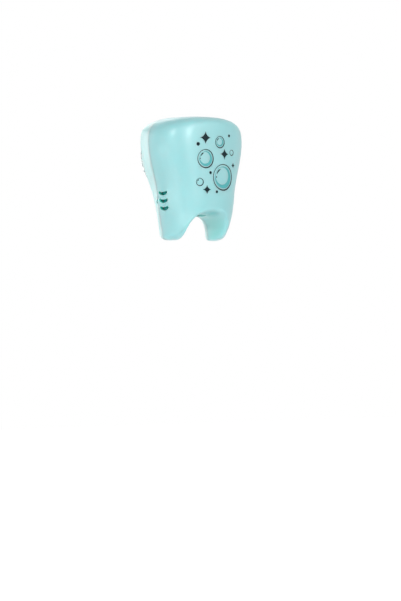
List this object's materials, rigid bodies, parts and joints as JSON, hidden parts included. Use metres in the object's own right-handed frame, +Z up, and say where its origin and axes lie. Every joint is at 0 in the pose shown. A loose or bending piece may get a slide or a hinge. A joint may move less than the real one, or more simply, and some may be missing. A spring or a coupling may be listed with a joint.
{
  "type": "toothbrush cover",
  "caption": "Molar-shaped toothbrush cover: a domed front shell hinged at the crown to a shallow back shell, with a neck notch between the roots, side vents and a wall suction cup.",
  "frame": {"origin": "centre of the suction cup's contact on the wall", "axes": "+Y into the wall, the cover's front looks along -Y, +Z up, +X to the right seen from the front"},
  "size_m": [0.0536, 0.0373, 0.0616],
  "materials": {
    "aqua_plastic": "satin",
    "pale_plastic": "satin",
    "pin_steel": "satin",
    "clear_vinyl": "gloss"
  },
  "bodies": {
    "cup": {"suction_cup": "clear_vinyl"},
    "back": {"back_shell": "pale_plastic", "hinge_pin": "pin_steel"},
    "front": {"front_shell": "aqua_plastic"}
  },
  "joints": [
    {"name": "cup_swivel", "type": "hinge", "parent": "cup", "child": "back", "pos_m": [0, 0, 0], "axis": [0, 1, 0], "continuous": true},
    {"name": "crown_hinge", "type": "hinge", "parent": "back", "child": "front", "pos_m": [0, -0.01602, 0.0161], "axis": [-1, 0, 0], "range_deg": [0, 90]}
  ]
}
